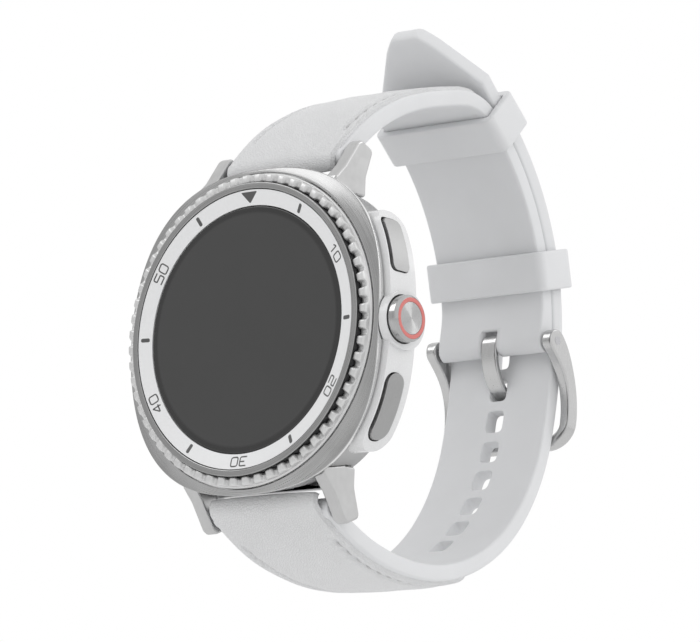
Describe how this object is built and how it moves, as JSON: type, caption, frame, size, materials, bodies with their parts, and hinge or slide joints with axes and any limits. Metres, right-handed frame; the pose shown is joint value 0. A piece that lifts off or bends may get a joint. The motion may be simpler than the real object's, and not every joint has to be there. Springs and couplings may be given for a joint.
{
  "type": "golf gps watch",
  "caption": "Round-dial golf GPS watch on a cushion case with a toothed turning bezel, side buttons and a white strap closed by a pin buckle.",
  "frame": {"origin": "centre of the sensor window's flat outer face on the back of the case, where it rests on the wrist", "axes": "+Z to 12 o'clock, +X to 3 o'clock (the button side), +Y from the case towards the wrist, so the dial looks along -Y"},
  "size_m": [0.0496, 0.0617, 0.0838],
  "materials": {
    "brushed_steel": "fine brushed, with polished edges",
    "grip_steel": "satin, with rounded teeth",
    "case_aluminium": "satin anodised",
    "white_gloss": "high gloss",
    "ring_white": "satin white with dark grey printed scale",
    "dark_glass": "polished, dark with the display off",
    "sensor_glass": "polished dark",
    "black_polymer": "matte",
    "red_enamel": "salmon red enamel",
    "white_rubber": "smooth soft-touch",
    "white_leather": "fine grain, padded and stitched",
    "pin_steel": "turned",
    "seal_rubber": "smooth",
    "slide_polymer": "slippery, matte",
    "board_green": "solder-masked circuit board",
    "chip_black": "moulded",
    "cell_foil": "foil and pressed cans",
    "coil_copper": "enamelled copper wire",
    "ferrite": "ferrite sheet",
    "display_black": "display stack, off",
    "cover_polymer": "fibre-filled, satin silver"
  },
  "bodies": {
    "watch": {"back_cover": "cover_polymer", "back_cover_screws": "pin_steel", "back_cover_seal": "seal_rubber", "battery": "cell_foil", "bezel_detent_pins": "pin_steel", "bezel_detent_springs": "pin_steel", "bezel_slide_ring": "slide_polymer", "bezel_snap_ring": "pin_steel", "board_chips": "chip_black", "button_seals": "seal_rubber", "button_switches": "chip_black", "case_body": "case_aluminium", "case_top_plate": "brushed_steel", "charging_coil": "coil_copper", "coil_shield": "ferrite", "cover_glass": "dark_glass", "display_panel": "display_black", "display_tray": "black_polymer", "frame_screws": "pin_steel", "glass_seal": "seal_rubber", "inner_frame": "black_polymer", "lower_lug_bracket": "brushed_steel", "lower_strap": "white_rubber", "lower_strap_leather": "white_leather", "lower_strap_pin": "pin_steel", "main_board": "board_green", "number_ring": "ring_white", "plate_gasket": "black_polymer", "sensor_board": "board_green", "sensor_leds": "chip_black", "sensor_window": "sensor_glass", "side_guard": "white_gloss", "speaker": "cell_foil", "upper_lug_bracket": "brushed_steel", "upper_strap": "white_rubber", "upper_strap_leather": "white_leather", "upper_strap_pin": "pin_steel", "vibration_motor": "cell_foil"},
    "bezel": {"bezel_rim": "brushed_steel", "bezel_liner": "black_polymer", "bezel_grip_ring": "grip_steel"},
    "upper_button": {"upper_button_cap": "brushed_steel", "upper_button_stem": "pin_steel"},
    "quick_button": {"quick_button_cap": "brushed_steel", "quick_button_ring": "red_enamel", "quick_button_disc": "brushed_steel", "quick_button_stem": "pin_steel"},
    "lower_button": {"lower_button_cap": "brushed_steel", "lower_button_stem": "pin_steel"},
    "upper_release": {"upper_lug_release": "brushed_steel"},
    "lower_release": {"lower_lug_release": "brushed_steel"},
    "keeper_upper": {"upper_keeper": "white_rubber"},
    "keeper_lower": {"lower_keeper": "white_rubber"},
    "buckle": {"buckle_frame": "brushed_steel", "buckle_pin": "pin_steel"},
    "tang": {"buckle_tang": "brushed_steel"}
  },
  "joints": [
    {"name": "bezel_turn", "type": "hinge", "parent": "watch", "child": "bezel", "pos_m": [0, -0.0105, 0], "axis": [0, -1, 0], "continuous": true},
    {"name": "upper_button_press", "type": "slide", "parent": "watch", "child": "upper_button", "axis": [-1, 0, 0], "range_m": [0, 0.0004], "stiffness_N_per_m": 4000},
    {"name": "quick_button_press", "type": "slide", "parent": "watch", "child": "quick_button", "axis": [-1, 0, 0], "range_m": [0, 0.0004], "stiffness_N_per_m": 4000},
    {"name": "lower_button_press", "type": "slide", "parent": "watch", "child": "lower_button", "axis": [-1, 0, 0], "range_m": [0, 0.0004], "stiffness_N_per_m": 4000},
    {"name": "upper_release_press", "type": "slide", "parent": "watch", "child": "upper_release", "axis": [0, -1, 0], "range_m": [0, 0.00035], "stiffness_N_per_m": 4000},
    {"name": "lower_release_press", "type": "slide", "parent": "watch", "child": "lower_release", "axis": [0, -1, 0], "range_m": [0, 0.00035], "stiffness_N_per_m": 4000},
    {"name": "upper_keeper_slide", "type": "hinge", "parent": "watch", "child": "keeper_upper", "pos_m": [0, 0.0065, 0.0075], "axis": [1, 0, 0], "range_deg": [-20, 0]},
    {"name": "lower_keeper_slide", "type": "hinge", "parent": "watch", "child": "keeper_lower", "pos_m": [0, 0.0065, 0.0075], "axis": [1, 0, 0], "range_deg": [-5, 4]},
    {"name": "buckle_swing", "type": "hinge", "parent": "watch", "child": "buckle", "pos_m": [0, 0.0447, 0.0063], "axis": [1, 0, 0], "range_deg": [0, 2]},
    {"name": "tang_swing", "type": "hinge", "parent": "watch", "child": "tang", "pos_m": [0, 0.0447, 0.0063], "axis": [1, 0, 0], "range_deg": [0, 2]}
  ],
  "couplings": [
    {"joint": "tang_swing", "follows": "buckle_swing", "ratio": 1}
  ]
}
